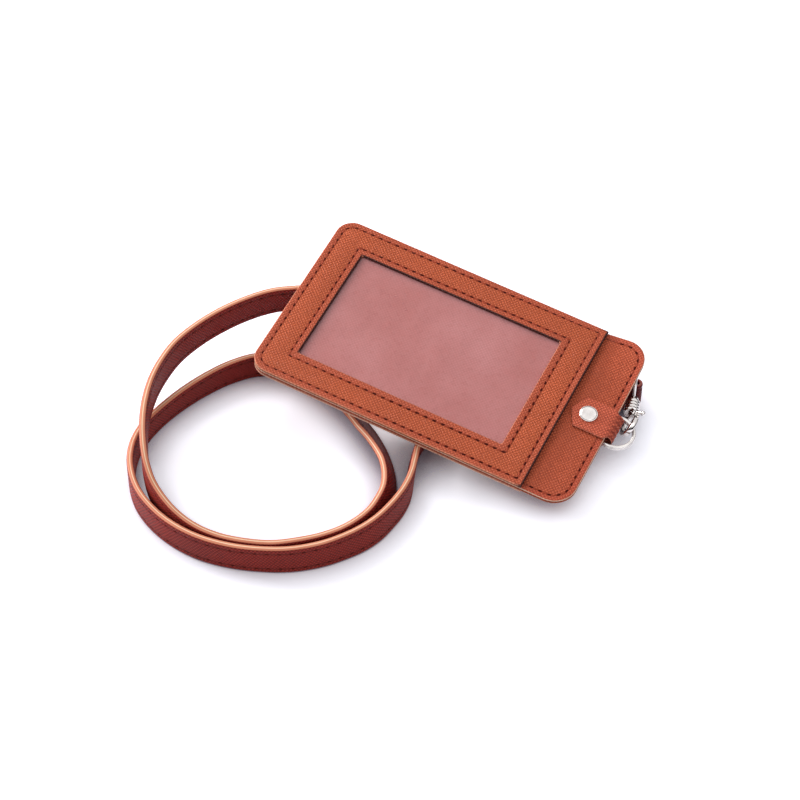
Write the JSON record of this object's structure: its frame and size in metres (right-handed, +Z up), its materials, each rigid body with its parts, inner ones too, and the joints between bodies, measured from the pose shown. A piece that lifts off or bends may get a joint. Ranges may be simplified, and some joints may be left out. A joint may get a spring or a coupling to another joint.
{
  "type": "id card holder with lanyard",
  "caption": "Stitched leather card holder with a clear window, held by a riveted tab, split ring and swivel clasp on a flat leather neck strap that lies coiled on its edge.",
  "frame": {"origin": "on the surface under the middle of the box round the holder and its metal fittings", "axes": "+X from the holder's left end to the tab and ring, +Y away from the viewer across the holder, +Z up"},
  "size_m": [0.1476, 0.1324, 0.0284],
  "materials": {
    "saffiano_leather": "cross-hatched emboss, semi-matt",
    "strap_leather": "cross-hatched emboss with light painted edges",
    "clear_film": "clear soft film",
    "board": "plain",
    "nickel": "bright nickel plate"
  },
  "bodies": {
    "holder": {"front_panel": "saffiano_leather", "closure_tab": "saffiano_leather", "front_sheet": "saffiano_leather", "rear_pocket_panel": "saffiano_leather", "rear_sheet": "saffiano_leather", "stiffener": "board", "window_film": "clear_film", "rivet_cap": "nickel", "rivet_back": "nickel", "strap_end_loop": "strap_leather", "strap": "strap_leather"},
    "ring": {"split_ring": "nickel"},
    "eye": {"swivel_eye": "nickel"},
    "clasp": {"clasp_body": "nickel", "lever_pin": "nickel"},
    "lever": {"trigger_lever": "nickel"}
  },
  "joints": [
    {"name": "ring_turn", "type": "hinge", "parent": "holder", "child": "ring", "pos_m": [0.05397, 0.0022, 0.00866], "axis": [0.1132, -0.109, 0.9876], "continuous": true},
    {"name": "eye_turn", "type": "hinge", "parent": "holder", "child": "eye", "pos_m": [0.05182, 0.02255, 0.00631], "axis": [-0.0476, 0.158, 0.9863], "range_deg": [-2, 1]},
    {"name": "clasp_swivel", "type": "hinge", "parent": "eye", "child": "clasp", "pos_m": [0.05182, 0.02255, 0.00631], "axis": [0.2846, -0.9444, 0.165], "range_deg": [-15, 30]},
    {"name": "lever_press", "type": "hinge", "parent": "clasp", "child": "lever", "pos_m": [0.05662, 0.0108, 0.01054], "axis": [0.853, 0.1709, -0.4932], "range_deg": [0, 12], "stiffness_Nm_per_rad": 0.03, "springref_deg": -11.46}
  ]
}
